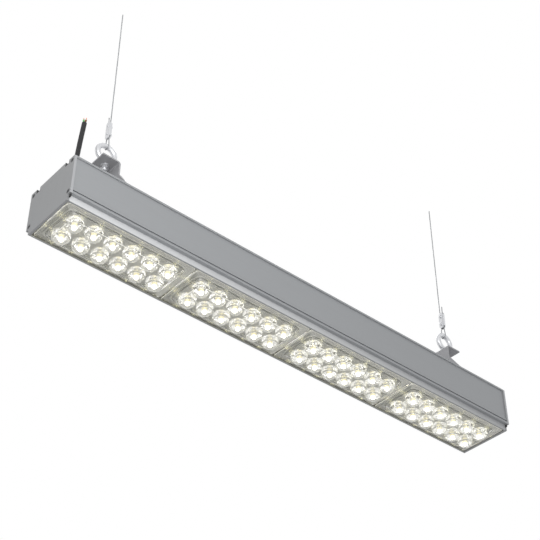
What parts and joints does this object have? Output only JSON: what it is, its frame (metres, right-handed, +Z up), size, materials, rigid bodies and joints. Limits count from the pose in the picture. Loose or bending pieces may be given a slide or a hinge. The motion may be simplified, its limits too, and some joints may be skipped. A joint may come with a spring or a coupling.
{
  "type": "industrial LED light",
  "caption": "Suspended linear LED light: slim grey aluminium body, clear domed lens plates underneath, folded end brackets with eye bolts, wire ropes and a cable stub.",
  "frame": {"origin": "middle of the housing's length and width, at the level of the lens domes' tips", "axes": "+X along the housing towards the end without the cable, +Z up towards the ropes, +Y across, away from the picture's near side"},
  "size_m": [0.7082, 0.0872, 0.3986],
  "materials": {
    "aluminium_body": "matt anodised extrusion",
    "cap_aluminium": "matt anodised plate",
    "clear_plastic": "clear moulded polycarbonate",
    "seal_rubber": "translucent grey silicone",
    "gasket": "black rubber sheet",
    "board": "pale solder mask",
    "led": "pale yellow phosphor",
    "bracket_steel": "grey powder coat",
    "zinc": "bright zinc plate",
    "rope_steel": "galvanised wire rope",
    "gear_steel": "galvanised sheet",
    "driver_case": "white powder coat",
    "block_plastic": "white polyamide",
    "gland_plastic": "black polyamide",
    "cable_sheath": "black sheath",
    "core_green": "green and yellow insulation",
    "core_brown": "brown insulation",
    "core_blue": "blue insulation",
    "copper": "bare copper"
  },
  "bodies": {
    "root": {"housing": "aluminium_body", "end_cap_left": "cap_aluminium", "end_cap_seal_left": "gasket", "end_cap_screws_left": "zinc", "end_cap_right": "cap_aluminium", "end_cap_seal_right": "gasket", "end_cap_screws_right": "zinc", "lens_plate_1": "clear_plastic", "lens_seal_1": "seal_rubber", "led_board_1": "board", "led_chips_1": "led", "lens_plate_2": "clear_plastic", "lens_seal_2": "seal_rubber", "led_board_2": "board", "led_chips_2": "led", "lens_plate_3": "clear_plastic", "lens_seal_3": "seal_rubber", "led_board_3": "board", "led_chips_3": "led", "lens_plate_4": "clear_plastic", "lens_seal_4": "seal_rubber", "led_board_4": "board", "led_chips_4": "led", "gear_tray": "gear_steel", "driver": "driver_case", "driver_screws": "zinc", "terminal_block": "block_plastic", "gland_body": "gland_plastic", "gland_nut": "gland_plastic", "gland_seal": "gasket", "gland_cap": "gland_plastic", "supply_cable": "cable_sheath", "core_earth": "core_green", "core_live": "core_brown", "core_neutral": "core_blue", "bare_wires": "copper", "bracket_left": "bracket_steel", "bracket_screws_left": "zinc", "slide_nuts_left": "zinc", "eye_bolt_left": "zinc", "eye_nut_left": "zinc", "rope_left": "rope_steel", "clip_back_left": "zinc", "clip_plate_left": "zinc", "clip_screws_left": "zinc", "bracket_right": "bracket_steel", "bracket_screws_right": "zinc", "slide_nuts_right": "zinc", "eye_bolt_right": "zinc", "eye_nut_right": "zinc", "rope_right": "rope_steel", "clip_back_right": "zinc", "clip_plate_right": "zinc", "clip_screws_right": "zinc"}
  },
  "joints": []
}
